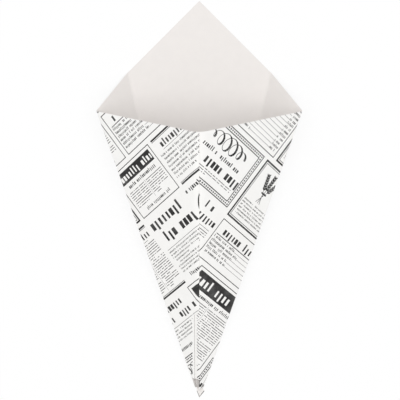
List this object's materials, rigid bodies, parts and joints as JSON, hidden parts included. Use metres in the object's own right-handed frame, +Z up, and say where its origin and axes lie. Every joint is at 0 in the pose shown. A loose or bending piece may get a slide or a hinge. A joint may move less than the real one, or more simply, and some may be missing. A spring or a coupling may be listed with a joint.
{
  "type": "paper fry cone",
  "caption": "Printed paper board cone for chips or snacks, folded from a square sheet, with a pointed back panel above its open mouth and a glued front seam; lies on its flat back.",
  "frame": {"origin": "centre of the bounding box at its bottom, on the surface that the flat back lies on", "axes": "+Y from the tip to the top point of the back panel, +Z up through the front ridge, +X to the right with the tip below"},
  "size_m": [0.148, 0.2928, 0.0695],
  "materials": {
    "printed_board": "uncoated board, matt, black print on the outer face"
  },
  "bodies": {
    "root": {"folded_sheet": "printed_board"}
  },
  "joints": []
}
